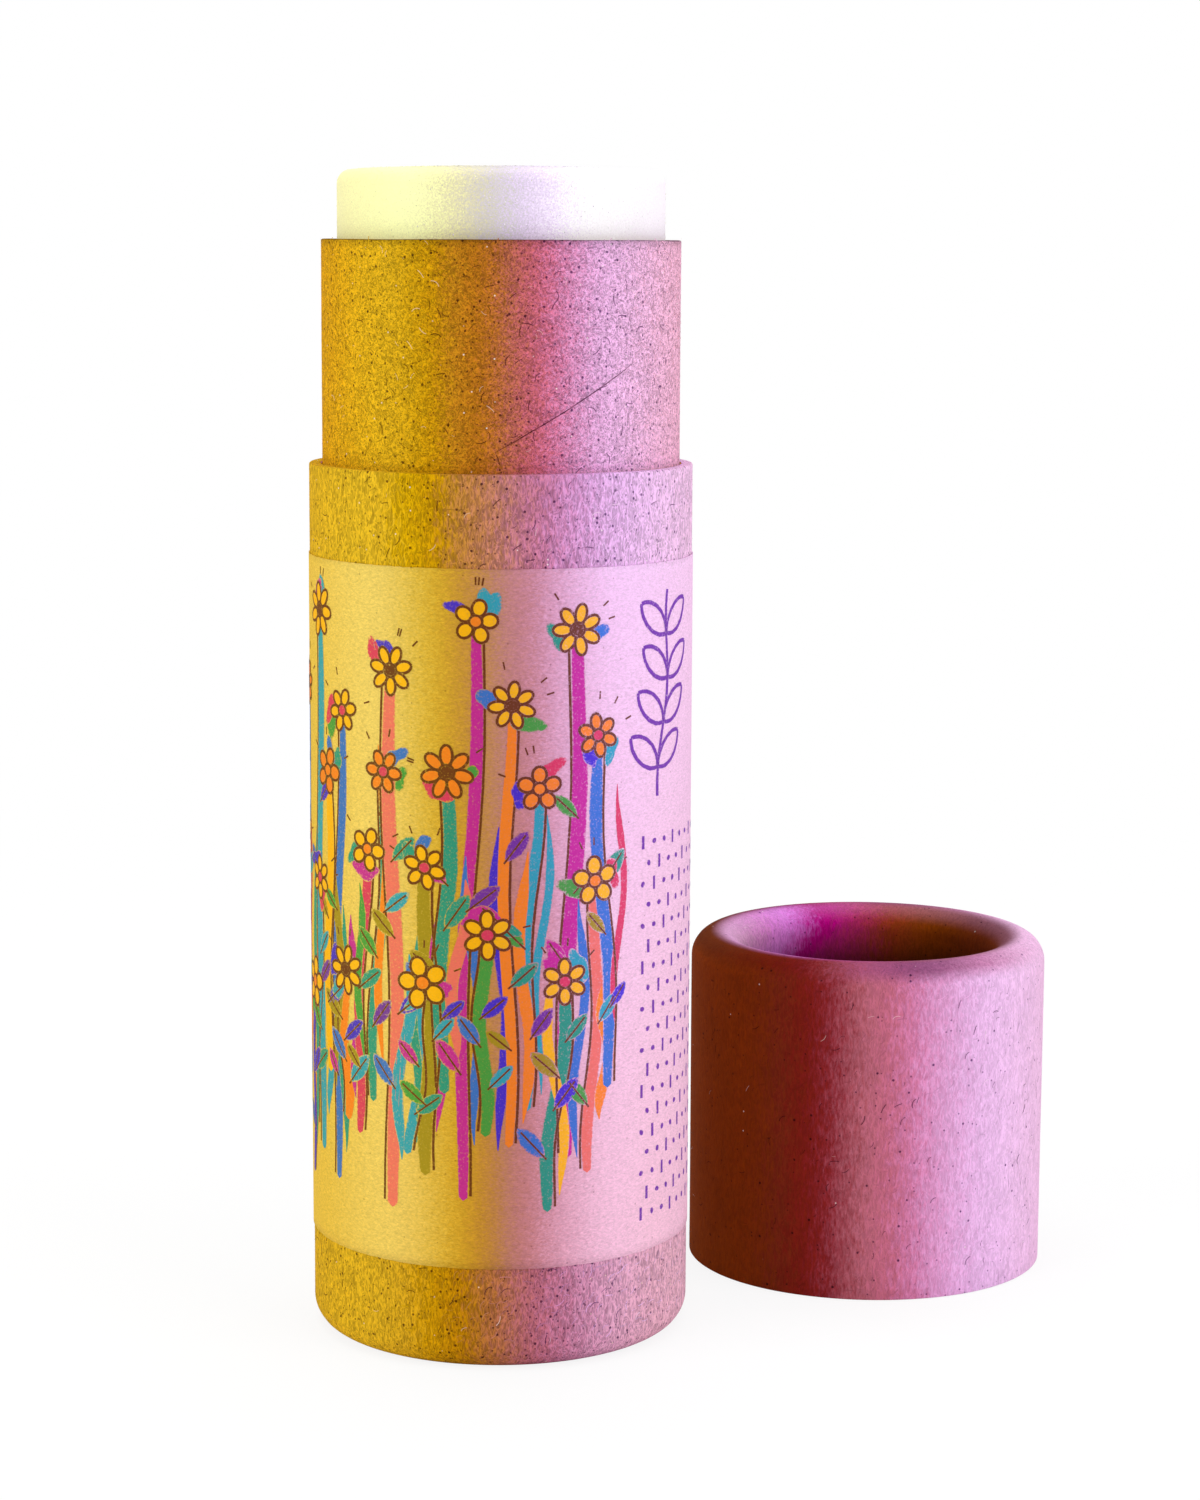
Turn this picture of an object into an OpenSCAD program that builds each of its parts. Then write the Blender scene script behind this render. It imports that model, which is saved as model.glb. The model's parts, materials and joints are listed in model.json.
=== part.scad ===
// A push-up stick of balm in a rolled-edge paper tube, with its cap standing beside it.
// Millimetres, +Z up. The origin lies on the standing surface, at the middle of the whole.

/* [Tubes] */
// Outside diameter of the base tube and of the cap
tube_d = 35; // [20:0.5:60]
// Thickness of the wound paper wall of every tube
wall = 1.15; // [0.6:0.05:2]
// Height of the base tube
base_h = 80.4; // [40:0.2:140]
// Height of the neck's rim over the base tube's rim
neck_rise = 20.1; // [8:0.1:40]
// Radial gap between the neck and the tubes that go over it
neck_fit = 0.05; // [0.02:0.01:0.1]
// Rounding of the cut paper edges
edge_ease = 0.15; // [0.05:0.01:0.25]

/* [Rolled ends] */
// Depth from a tube's end to the cut edge of its rolled-in leg
roll_depth = 6.5; // [5:0.1:12]
// Radial room between the rolled-in leg and the pusher's skirt
leg_room = 0.4; // [0.2:0.05:1.5]
// Depth of the pressed flat that the base tube stands on
foot_flat = 0.1; // [0.02:0.01:0.3]
// Height of the neck's foot over the start of the bend
foot_gap = 0.05; // [0:0.05:1]

/* [Pusher] */
// Thickness of the pusher's top plate
plate_t = 1.15; // [0.6:0.05:2.5]
// Thickness of the pusher's skirt
skirt_t = 1; // [0.5:0.05:2]
// Radial running gap between the skirt and the neck
push_fit = 0.1; // [0.02:0.01:0.1]
// Room left under the skirt when the pusher is at its lowest
skirt_room = 0.3; // [0.1:0.05:1]
// Gap left under the plate when the pusher is at its lowest
seat_gap = 0.05; // [0.02:0.01:0.2]
// How far the pusher has been pushed up
push_lift = 7; // [0.5:0.5:40]
// Rounding where the plate turns down into the skirt
plate_round = 0.5; // [0.2:0.1:0.9]

/* [Balm] */
// How far the balm stands out of the neck
balm_out = 6.5; // [1:0.5:20]
// Radial gap between the balm and the neck
balm_gap = 0.3; // [0.1:0.05:0.6]
// Rounding of the balm's top edge
balm_round = 1.3; // [0.5:0.1:4]
// Height of the dome of the balm's top
balm_dome = 0.3; // [0.1:0.05:1]

/* [Label] */
// Height of the label's lower edge over the standing surface
label_z = 9.45; // [5:0.05:30]
// Height of the label
label_h = 62.75; // [20:0.25:100]
// Thickness of the label's paper
label_t = 0.12; // [0.08:0.01:0.3]
// Thickness of the glue under the label
label_glue = 0.02; // [0.01:0.01:0.05]
// Width of the bare strip between the label's ends, at the back
label_gap = 4; // [1:0.5:20]

/* [Cap] */
// Height of the cap
cap_h = 32.6; // [28:0.1:60]
// Thickness of the cap's closing disc
cap_disc_t = 1.2; // [0.6:0.05:3]
// Clear distance between the label and the cap that stands beside it
cap_gap = 6.7; // [1:0.1:60]
// Direction of the cap from the tube, turned back from +X
cap_turn = 31; // [0:1:90]

/* [Hidden] */
$fn = 128;
// Facets of a full circle as wide as the balm's dome, of which only a small cap is used
dome_fn = 720;

// Radii, from the outside inwards
tube_r = tube_d / 2;
tube_in_r = tube_r - wall;
neck_r = tube_in_r - neck_fit;
neck_in_r = neck_r - wall;
skirt_r = neck_in_r - push_fit;
skirt_in_r = skirt_r - skirt_t;
leg_r = skirt_in_r - leg_room;
leg_in_r = leg_r - wall;
roll_r = (tube_r - leg_in_r) / 2;
balm_r = neck_in_r - balm_gap;
label_in_r = tube_r + label_glue;
label_r = label_in_r + label_t;

// Heights over the standing surface
foot_roll_z = roll_r - foot_flat;
neck_z = foot_roll_z + foot_gap;
neck_top = base_h + neck_rise;
plate_low_z = roll_depth + seat_gap;
skirt_h = plate_low_z - foot_roll_z - skirt_room;
plate_z = plate_low_z + push_lift;
plate_top = plate_z + plate_t;
balm_top = neck_top + balm_out;
dome_r = (balm_r * balm_r + balm_dome * balm_dome) / (2 * balm_dome);

// Places of the two axes, so that the origin is the middle of the whole
cap_reach = label_r + cap_gap + tube_r;
cap_dx = cap_reach * cos(cap_turn);
cap_dy = cap_reach * sin(cap_turn);
skin = label_r - tube_r;
tube_at = [(skin - cap_dx) / 2, (skin - cap_dy) / 2, 0];
cap_at = tube_at + [cap_dx, cap_dy, 0];

kraft = [0.78, 0.56, 0.46];
kraft_neck = [0.8, 0.52, 0.42];
label_paper = [0.93, 0.76, 0.66];
pearl = [0.95, 0.92, 0.9];
board = [0.62, 0.47, 0.36];

// Section of a paper strip from radius x and height y, with its upper cut edge rounded
module strip(x, y, w, h) {
    translate([x, y]) square([w, h - edge_ease]);
    translate([x + edge_ease, y]) square([w - 2 * edge_ease, h]);
    for (side = [edge_ease, w - edge_ease])
        translate([x + side, y + h - edge_ease]) circle(edge_ease);
}

// Section of a tube whose end at height 0 is rolled in: bend, wall outside and leg inside
module rolled_section(h, flat) {
    bend_y = roll_r - flat;
    strip(tube_in_r, bend_y, wall, h - bend_y);
    strip(leg_in_r, bend_y, wall, roll_depth - bend_y);
    intersection() {
        translate([tube_r - roll_r, bend_y]) difference() {
            circle(roll_r);
            circle(roll_r - wall);
        }
        translate([leg_in_r, 0]) square([2 * roll_r, bend_y]);
    }
}

// Outer tube, with its bottom edge rolled in and pressed flat where it stands
module base_tube() {
    color(kraft) translate(tube_at)
        rotate_extrude() rolled_section(base_h, foot_flat);
}

// Inner tube, glued into the base tube, its foot standing in the rolled edge's channel
module neck_tube() {
    color(kraft_neck) translate(tube_at)
        rotate_extrude() strip(neck_in_r, neck_z, wall, neck_top - neck_z);
}

// Paper label, wrapped round the base tube with its two ends at the back
module label() {
    gap_turn = 360 * label_gap / (2 * PI * label_r);
    color(label_paper) translate(tube_at)
        rotate([0, 0, 90 + gap_turn / 2]) rotate_extrude(angle = 360 - gap_turn)
            translate([label_in_r, label_z]) square([label_t, label_h]);
}

// Poured stick of balm, with a rounded edge and a slightly domed top
module balm_stick() {
    color(pearl) translate(tube_at) rotate_extrude() intersection() {
        union() {
            translate([0, plate_top]) square([balm_r, balm_top - balm_round - plate_top]);
            translate([0, plate_top]) square([balm_r - balm_round, balm_top - plate_top]);
            translate([balm_r - balm_round, balm_top - balm_round]) circle(balm_round);
        }
        translate([0, balm_top - dome_r]) circle(dome_r, $fn = dome_fn);
        translate([0, plate_top]) square([balm_r, balm_top - plate_top]);
    }
}

// Pressed paper cup, open downwards, that a fingertip pushes up the neck
module push_disc() {
    color(board) translate(tube_at) rotate_extrude() {
        translate([0, plate_z]) square([skirt_r - plate_round, plate_t]);
        translate([skirt_in_r, plate_z]) square([skirt_t, plate_t - plate_round]);
        translate([skirt_r - plate_round, plate_top - plate_round]) intersection() {
            circle(plate_round);
            square(plate_round);
        }
        translate([0, plate_z]) mirror([0, 1]) strip(skirt_in_r, 0, skirt_t, skirt_h);
    }
}

// Cap, standing on its cut mouth with its rolled end up
module cap_tube() {
    color(kraft) translate(cap_at) translate([0, 0, cap_h]) mirror([0, 0, 1])
        rotate_extrude() rolled_section(cap_h, 0);
}

// Board disc that closes the cap, pressed up against the rolled-in leg
module cap_disc() {
    color(board) translate(cap_at + [0, 0, cap_h - roll_depth - cap_disc_t])
        cylinder(r = neck_r, h = cap_disc_t);
}

base_tube();
neck_tube();
label();
balm_stick();
push_disc();
cap_tube();
cap_disc();
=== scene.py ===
"""Dresses a push-up paper tube, its label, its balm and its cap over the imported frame."""

import json
import math
import random

import bmesh
import bpy
from mathutils import Matrix, Vector, noise


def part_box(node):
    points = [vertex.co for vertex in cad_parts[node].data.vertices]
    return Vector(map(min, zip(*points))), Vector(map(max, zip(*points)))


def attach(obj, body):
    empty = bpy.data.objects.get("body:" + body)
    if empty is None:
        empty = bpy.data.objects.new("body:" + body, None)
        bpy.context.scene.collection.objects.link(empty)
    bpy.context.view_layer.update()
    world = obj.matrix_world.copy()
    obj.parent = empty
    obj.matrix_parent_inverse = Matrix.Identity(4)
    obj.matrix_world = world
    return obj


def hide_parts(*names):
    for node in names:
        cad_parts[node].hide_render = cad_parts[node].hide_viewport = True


bl_info = {
    "name": "Push-up Paper Tube",
    "version": (1, 0, 0),
    "blender": (4, 5, 0),
    "location": "View3D > Sidebar > Paper Tube",
    "description": "Paper, print, balm and studio for a push-up tube and its cap",
    "category": "Object",
}

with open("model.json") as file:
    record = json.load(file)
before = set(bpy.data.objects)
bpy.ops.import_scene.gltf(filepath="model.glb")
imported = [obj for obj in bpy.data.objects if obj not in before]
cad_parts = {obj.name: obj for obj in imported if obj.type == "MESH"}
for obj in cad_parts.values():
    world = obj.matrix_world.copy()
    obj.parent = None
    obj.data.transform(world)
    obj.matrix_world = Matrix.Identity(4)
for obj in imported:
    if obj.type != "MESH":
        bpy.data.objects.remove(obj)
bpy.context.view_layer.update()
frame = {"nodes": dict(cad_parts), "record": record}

# Sizes that the frame gives, in metres
MM = 0.001
MOUNTS = {mount["name"]: mount for mount in frame["record"]["mounts"]}

BASE_LOW, BASE_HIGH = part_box("base_tube")
NECK_LOW, NECK_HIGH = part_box("neck_tube")
LABEL_LOW, LABEL_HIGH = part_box("label")
BALM_LOW, BALM_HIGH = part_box("balm_stick")
CAP_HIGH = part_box("cap_tube")[1]
CAP_DISC_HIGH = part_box("cap_disc")[1]

TUBE_X, TUBE_Y = MOUNTS["neck"]["pos_m"][:2]
CAP_X, CAP_Y = MOUNTS["cap_mouth"]["pos_m"][:2]
TUBE_R = (BASE_HIGH.x - BASE_LOW.x) / 2
BORE_R = MOUNTS["cap_mouth"]["dims"]["r_mm"] * MM
WALL = TUBE_R - BORE_R
NECK_R = MOUNTS["neck"]["dims"]["r_mm"] * MM
LABEL_R = TUBE_Y - LABEL_LOW.y
BALM_R = (BALM_HIGH.x - BALM_LOW.x) / 2
ROLL_R = TUBE_R - (MOUNTS["base_rest"]["pos_m"][0] - TUBE_X)
ROLL_DEPTH = CAP_HIGH.z - CAP_DISC_HIGH.z
# Sizes that the solids share and the frame doesn't name
FOOT_FLAT = 0.1 * MM
LABEL_GAP = 4 * MM
BALM_DOME = 0.3 * MM
TUBE_AXIS = (TUBE_X, TUBE_Y)
CAP_AXIS = (CAP_X, CAP_Y)

# Spacing of a wall's rings and its facets round the axis
RING_STEP = 2 * MM
PAPER_FACETS = 192
BALM_FACETS = 160


def tone(red, green, blue):
    """A colour given as it looks on screen, 0 to 255, as scene-linear red, green and blue."""
    def linear(value):
        value /= 255
        return value / 12.92 if value <= 0.04045 else ((value + 0.055) / 1.055) ** 2.4
    return linear(red), linear(green), linear(blue)


# Painted light, gold from the left and pink from the right: colours from the side that faces left to the side
# that faces right
NECK_TONES = (
    (0.00, (210, 151, 10)), (0.20, (206, 161, 22)), (0.37, (176, 122, 14)),
    (0.52, (170, 96, 60)), (0.64, (192, 105, 137)), (0.78, (216, 164, 208)), (1.00, (229, 171, 196)),
)
BASE_TONES = (
    (0.00, (208, 163, 26)), (0.20, (206, 165, 30)), (0.37, (177, 127, 18)),
    (0.52, (176, 112, 105)), (0.64, (186, 119, 161)), (0.78, (214, 167, 217)), (1.00, (231, 189, 222)),
)
LABEL_TONES = (
    (0.00, (222, 182, 62)), (0.20, (227, 197, 94)), (0.37, (195, 152, 40)),
    (0.50, (175, 120, 98)), (0.62, (196, 137, 166)), (0.77, (234, 190, 234)), (1.00, (238, 197, 233)),
)
# The cap's dark brown left is painted shadow of the tube beside it, under the painted gold and pink light
CAP_TONES = (
    (0.00, (142, 62, 4)), (0.22, (120, 43, 15)), (0.36, (131, 40, 46)),
    (0.46, (170, 92, 107)), (0.54, (186, 103, 132)), (0.62, (203, 132, 176)), (0.78, (223, 176, 221)),
    (1.00, (228, 184, 217)),
)
# Painted shade: duller tones for the crest of the cap's rolled end, which faces up, away from the side lights
CAP_CREST_TONES = (
    (0.00, (103, 44, 8)), (0.28, (113, 24, 22)), (0.36, (135, 56, 66)), (0.46, (152, 76, 108)),
    (0.60, (134, 72, 110)), (0.72, (156, 96, 134)), (0.84, (192, 133, 172)), (1.00, (229, 184, 220)),
)
# Painted light and shade inside the cap's rolled end: its inner wall takes the tones of the side it faces
CAP_INSIDE_TONES = (
    (0.05, (104, 42, 8)), (0.28, (138, 62, 12)), (0.42, (158, 52, 54)), (0.58, (176, 30, 118)),
    (0.66, (184, 34, 140)), (0.77, (214, 120, 212)), (0.87, (208, 129, 197)), (1.00, (208, 157, 192)),
)
# The balm's pale wax under the same painted gold and pink light, greyer between
BALM_TONES = (
    (0.00, (241, 234, 167)), (0.24, (248, 250, 181)), (0.38, (221, 215, 167)),
    (0.50, (203, 196, 198)), (0.62, (228, 211, 238)), (0.74, (249, 246, 249)), (1.00, (250, 241, 251)),
)

# Painted shade at the tube's foot, on its paper and on its label: what is left of the light there
BASE_FOOT_SHADE = (0.86, 0.73, 0.60, 1)
LABEL_FOOT_SHADE = (0.97, 0.89, 0.74, 1)
# The side that faces the cap, and how far from it the painted shade at the foot is full and has ended
CAP_SIDE = 0.62
FOOT_SHADE_FULL = 0.25
FOOT_SHADE_END = 0.62
# How much of a table of painted-light tones a half turn takes up, and how far the tones drift towards the
# foot
SPREAD = 0.486
LEAN = 0.06
# How far the painted light's tones drift and how much painted shade darkens them from the cap's rolled end to
# the depth of its leg, and the painted highlight on its inner edge
MOUTH_DRIFT = 0.11
MOUTH_DEPTH_SHADE = 0.76
MOUTH_EDGE_HIGHLIGHT = (0.6, 0.36, 0.66, 1)
# Filters and colours of specks and fibres in the kraft
DARK_SPECK = (0.14, 0.07, 0.20, 1)
PALE_SPECK = (0.95, 0.92, 0.86, 1)
DARK_FIBRE = (0.22, 0.14, 0.25, 1)
PALE_FIBRE = (0.95, 0.92, 0.84, 1)

# Crayon inks, as filters over the paper
INKS = {
    "teal": (0, 160, 140), "turquoise": (20, 170, 200), "green": (60, 165, 70), "olive": (165, 150, 25),
    "yellow": (255, 196, 0), "orange": (250, 140, 30), "salmon": (240, 120, 110), "crimson": (220, 55, 105),
    "magenta": (200, 30, 165), "blue": (40, 120, 220), "ultramarine": (60, 40, 220), "purple": (112, 46, 176),
    "brown": (104, 52, 18),
}


# Inks of the stems, leaves and smudges, in the order in which they are drawn
STEM_INKS = (
    "orange", "crimson", "teal", "salmon", "turquoise", "olive", "teal", "magenta", "green", "orange",
    "turquoise", "teal", "magenta", "salmon", "blue", "ultramarine", "orange", "turquoise", "yellow", "blue",
)
LEAF_INKS = ("teal", "green", "ultramarine", "magenta", "turquoise", "olive", "purple", "blue")
SMUDGE_INKS = ("magenta", "teal", "blue", "green", "crimson", "ultramarine", "turquoise")
# How high each stem starts, as a share of the print's height
FOOT_SHARES = (0.12, 0.05, 0.20, 0.09, 0.16, 0.03, 0.23, 0.14)
# Distance between the points of a printed line, and the room for the print over the label's sheet
PRINT_STEP = 0.28 * MM
PRINT_ROOM = 0.05 * MM
PANEL_SPACING = 1.6 * MM


class NodeMaker:
    """Adds and links the nodes of one tree."""

    def __init__(self, tree):
        self.tree = tree

    def add(self, kind, settings=None, **inputs):
        made = self.tree.nodes.new(kind)
        for key, value in (settings or {}).items():
            setattr(made, key, value)
        for key, value in inputs.items():
            self.feed(made, key, value)
        return made

    def feed(self, made, key, value):
        """Links or sets one input, named by its label with spaces as underscores, or by _ and its place."""
        socket = made.inputs[int(key[1:])] if key[0] == "_" else made.inputs[key.replace("_", " ")]
        if isinstance(value, bpy.types.NodeSocket):
            self.tree.links.new(value, socket)
        else:
            socket.default_value = value

    def math(self, operation, *values):
        inputs = {f"_{place}": value for place, value in enumerate(values)}
        return self.add("ShaderNodeMath", {"operation": operation}, **inputs).outputs[0]

    def vector(self, operation, *values):
        inputs = {f"_{place}": value for place, value in enumerate(values)}
        made = self.add("ShaderNodeVectorMath", {"operation": operation}, **inputs)
        return made.outputs[1 if operation in ("DOT_PRODUCT", "LENGTH") else 0]

    def axis(self, vector, number):
        """One of a vector's three numbers."""
        return self.add("ShaderNodeSeparateXYZ", Vector=vector).outputs[number]

    def place(self):
        return self.add("ShaderNodeTexCoord").outputs["Object"]

    def normal(self):
        return self.add("ShaderNodeTexCoord").outputs["Normal"]

    def value(self, name):
        """A number kept on the mesh."""
        return self.add("ShaderNodeAttribute", {"attribute_name": name}).outputs["Fac"]

    def mix(self, share, first, second, blend="MIX"):
        settings = {"data_type": "RGBA", "blend_type": blend}
        return self.add("ShaderNodeMix", settings, _0=share, _6=first, _7=second).outputs[2]

    def filtered(self, share, colour, tint):
        """A colour seen through a tint, by the given share."""
        return self.mix(share, colour, self.mix(1.0, colour, tint, "MULTIPLY"))

    def between(self, value, low, high, to_low=0.0, to_high=1.0):
        """A smooth step of a value from low to high."""
        return self.add(
            "ShaderNodeMapRange", {"interpolation_type": "SMOOTHSTEP"}, Value=value, From_Min=low,
            From_Max=high, To_Min=to_low, To_Max=to_high,
        ).outputs[0]

    def swing(self, value, size, middle=1.0):
        """A value of 0 to 1 as a swing of the given size about a middle."""
        return self.math("ADD", self.math("MULTIPLY", self.math("SUBTRACT", value, 0.5), size), middle)

    def random_value(self, kind, low, high, seed):
        """A random number or vector for each element. kind is FLOAT_VECTOR, FLOAT or INT."""
        first, output = {"FLOAT_VECTOR": (0, 0), "FLOAT": (2, 1), "INT": (4, 2)}[kind]
        limits = {f"_{first}": low, f"_{first + 1}": high}
        made = self.add("FunctionNodeRandomValue", {"data_type": kind}, Seed=seed, **limits)
        return made.outputs[output]


def new_material(name):
    material = bpy.data.materials.new(name)
    material.use_nodes = True
    material.node_tree.nodes.clear()
    return material, NodeMaker(material.node_tree)


def finish_material(
    make, colour, roughness, bump_height=None, bump_depth=0.03 * MM, bump_strength=0.5, **settings,
):
    """Closes a material with its shader, its bump and its output."""
    shader = make.add("ShaderNodeBsdfPrincipled", Base_Color=colour, Roughness=roughness, **settings)
    if bump_height is not None:
        bump = make.add("ShaderNodeBump", Height=bump_height, Distance=bump_depth, Strength=bump_strength)
        make.feed(shader, "Normal", bump.outputs[0])
    make.add("ShaderNodeOutputMaterial", Surface=shader.outputs[0])


def times(make, colour, level):
    """A colour made lighter or darker by a level."""
    grey = make.add("ShaderNodeCombineColor", Red=level, Green=level, Blue=level).outputs[0]
    return make.mix(1.0, colour, grey, "MULTIPLY")


def low_share(make):
    """0 at the base tube's rim, 1 at its foot."""
    return make.between(make.axis(make.place(), 2), BASE_HIGH.z, 0.0)


def painted_foot_shade(make, colour, side, shade):
    """Painted shade: darkens the tube towards its foot, most where it faces the cap."""
    off = make.math("ABSOLUTE", make.math("SUBTRACT", side, CAP_SIDE))
    share = make.math("MULTIPLY", low_share(make), make.between(off, FOOT_SHADE_END, FOOT_SHADE_FULL))
    return make.filtered(share, colour, shade)


def across(make, axis_x=TUBE_X):
    """How far a point lies to the right of an axis, in radii."""
    return make.math("DIVIDE", make.math("SUBTRACT", make.axis(make.place(), 0), axis_x), TUBE_R)


def facing(make, axis_x=TUBE_X):
    """How far a surface faces right, seen from the front: 0 left, 1 right. A level one goes by its place."""
    level = make.vector("MULTIPLY", make.normal(), (1.0, 1.0, 0.0))
    flat = make.math("SUBTRACT", 1.0, make.vector("LENGTH", level))
    side = make.math("ADD", make.axis(level, 0), make.math("MULTIPLY", across(make, axis_x), flat))
    return make.math("ADD", make.math("MULTIPLY", side, SPREAD), 0.5)


def wrapped(make):
    """The same for the label and its print, which face straight out from the tube all over."""
    return make.math("ADD", make.math("MULTIPLY", across(make), SPREAD), 0.5)


def leaning(make, side):
    """Lets the painted light's darker tones of the left side drift to the right towards the tube's foot."""
    share = make.math("MULTIPLY", low_share(make), make.between(side, 0.62, 0.42))
    return make.math("SUBTRACT", side, make.math("MULTIPLY", share, LEAN))


def painted_light_tone(make, tones, side, wander=0.0, scale=3000, stretch=(1, 1, 1)):
    """Painted light: colour by how far a surface faces right, gold light from the left and pink light from
    the right. The wander is how much its grain strays from that.
    """
    if wander:
        stray = grain(make, scale, stretch, detail=3.0, roughness=0.7, shift=0.9)
        side = make.swing(stray, wander, side)
    ramp = make.add("ShaderNodeValToRGB", _0=side)
    ramp.color_ramp.interpolation = "CARDINAL"
    stops = ramp.color_ramp.elements
    stops.remove(stops[1])
    stops[0].position = tones[0][0]
    stops[0].color = (*tone(*tones[0][1]), 1)
    for place, colour in tones[1:]:
        stops.new(place).color = (*tone(*colour), 1)
    return ramp.outputs[0]


def grain(make, scale, stretch=(1, 1, 1), detail=3.0, roughness=0.6, distortion=0.0, shift=0.0):
    """Noise on the object's own coordinates, 0 to 1. Scale is in features per metre."""
    offset = (shift, shift, shift)
    mapped = make.add("ShaderNodeMapping", Vector=make.place(), Location=offset, Scale=stretch).outputs[0]
    return make.add(
        "ShaderNodeTexNoise", Vector=mapped, Scale=scale, Detail=detail, Roughness=roughness,
        Distortion=distortion,
    ).outputs[0]


def spots(make, scale, size, share, shift=0.0):
    """Round specks: 1 inside a speck, 0 outside. Share is the part of the cells that hold one."""
    mapped = make.add("ShaderNodeMapping", Vector=make.place(), Location=(shift, shift, shift)).outputs[0]
    cells = make.add("ShaderNodeTexVoronoi", Vector=mapped, Scale=scale)
    own = make.add("ShaderNodeSeparateColor", Color=cells.outputs[1]).outputs[0]
    chosen = make.math("LESS_THAN", own, share)
    return make.math("MULTIPLY", chosen, make.between(cells.outputs[0], size, size * 0.6))


def matted_fibres(make, scale, stretch):
    """Ridges of fine tangled fibres: 1 on a fibre, 0 between them."""
    ridges = []
    for shift in (0.0, 0.37):
        field = grain(make, scale, stretch, detail=1.0, roughness=0.5, distortion=1.4, shift=shift)
        away = make.math("ABSOLUTE", make.math("SUBTRACT", field, 0.5))
        ridges.append(make.between(away, 0.08, 0.0))
    return make.math("MAXIMUM", *ridges)


def cap_tone(make, wander, stretch):
    """The cap's tones, painted light and shade: its wall, the crest of its rolled end in duller painted
    shade, and its mouth.
    """
    place = make.vector("SUBTRACT", make.place(), (*CAP_AXIS, 0.0))
    outwards = make.vector("NORMALIZE", make.vector("MULTIPLY", place, (1.0, 1.0, 0.0)))
    side = make.math("ADD", make.math("MULTIPLY", make.axis(outwards, 0), SPREAD), 0.5)
    wall = painted_light_tone(make, CAP_TONES, side, wander, 3600, stretch)
    crest = painted_light_tone(make, CAP_CREST_TONES, side, wander, 3600, stretch)
    outside = make.mix(make.between(make.axis(make.normal(), 2), 0.2, 0.8), wall, crest)
    inside = mouth_tone(make, side, make.axis(place, 2), wander, stretch)
    turned_in = make.between(make.vector("DOT_PRODUCT", make.normal(), outwards), 0.3, -0.5)
    return make.mix(turned_in, outside, inside)


def mouth_tone(make, side, height, wander, stretch):
    """The painted light inside the cap's rolled end: a painted highlight on the edge, and painted shade that
    darkens with depth.
    """
    deep = make.between(height, CAP_HIGH.z - 0.2 * ROLL_DEPTH, CAP_HIGH.z - ROLL_DEPTH)
    side = make.math("SUBTRACT", 1.0, side)
    drift = make.math("MULTIPLY", make.math("MULTIPLY", deep, make.between(side, 0.4, 0.7)), MOUTH_DRIFT)
    side = make.math("SUBTRACT", side, drift)
    inside = painted_light_tone(make, CAP_INSIDE_TONES, side, wander, 3600, stretch)
    edge = make.between(height, CAP_HIGH.z - 0.25 * ROLL_DEPTH, CAP_HIGH.z, 0.0, 0.16)
    level = make.math("SUBTRACT", 1.0, make.math("MULTIPLY", deep, MOUTH_DEPTH_SHADE))
    return times(make, make.mix(edge, inside, MOUTH_EDGE_HIGHLIGHT), level)


def tinted_paper(make, base, contrast, stretch, specks):
    """Kraft paper's colour and its height for bump: matted fibres, mottling and specks."""
    mottle = grain(make, 4200, stretch, detail=3.0, roughness=0.75, distortion=0.5)
    fibres = matted_fibres(make, 1900, stretch)
    cloud = grain(make, 260, detail=2.0)
    blend = make.math("ADD", make.math("MULTIPLY", mottle, 0.7), make.math("MULTIPLY", fibres, 0.3))
    colour = times(make, base, make.swing(cloud, 0.2, make.swing(blend, contrast, 1.03)))
    large = make.math("MULTIPLY", spots(make, 1300, 0.2, specks), 0.9)
    small = make.math("MULTIPLY", spots(make, 2100, 0.24, specks, shift=0.7), 0.75)
    colour = make.filtered(make.math("MAXIMUM", large, small), colour, DARK_SPECK)
    light = make.math("MULTIPLY", spots(make, 1500, 0.14, specks * 0.2, shift=0.3), 0.6)
    return make.mix(light, colour, PALE_SPECK), blend


def close_kraft(make, colour, height):
    finish_material(make, colour, 0.95, height, 0.08 * MM, 0.8, Specular_IOR_Level=0.06)


def base_material():
    material, make = new_material("base_kraft_paper")
    upright = (1, 1, 0.35)
    side = leaning(make, facing(make))
    base = painted_light_tone(make, BASE_TONES, side, 0.2, 3600, upright)
    colour, height = tinted_paper(make, base, 1.7, upright, 0.45)
    close_kraft(make, painted_foot_shade(make, colour, side, BASE_FOOT_SHADE), height)
    return material


def neck_material():
    """The neck's paper, darker along its rim and darkest on the cut edge."""
    material, make = new_material("neck_kraft_paper")
    base = painted_light_tone(make, NECK_TONES, facing(make), 0.2, 3600)
    colour, height = tinted_paper(make, base, 2.1, (1, 1, 1), 0.5)
    upright = make.math("ABSOLUTE", make.axis(make.normal(), 2))
    z = make.axis(make.place(), 2)
    rim = make.between(z, NECK_HIGH.z - 0.9 * MM, NECK_HIGH.z - 0.2 * MM, 1.0, 0.72)
    level = make.math("MULTIPLY", rim, make.between(upright, 0.1, 0.7, 1.0, 0.45))
    close_kraft(make, times(make, colour, level), height)
    return material


def cap_material():
    material, make = new_material("cap_kraft_paper")
    upright = (1, 1, 0.3)
    colour, height = tinted_paper(make, cap_tone(make, 0.2, upright), 0.7, upright, 0.1)
    close_kraft(make, colour, height)
    return material


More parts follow.
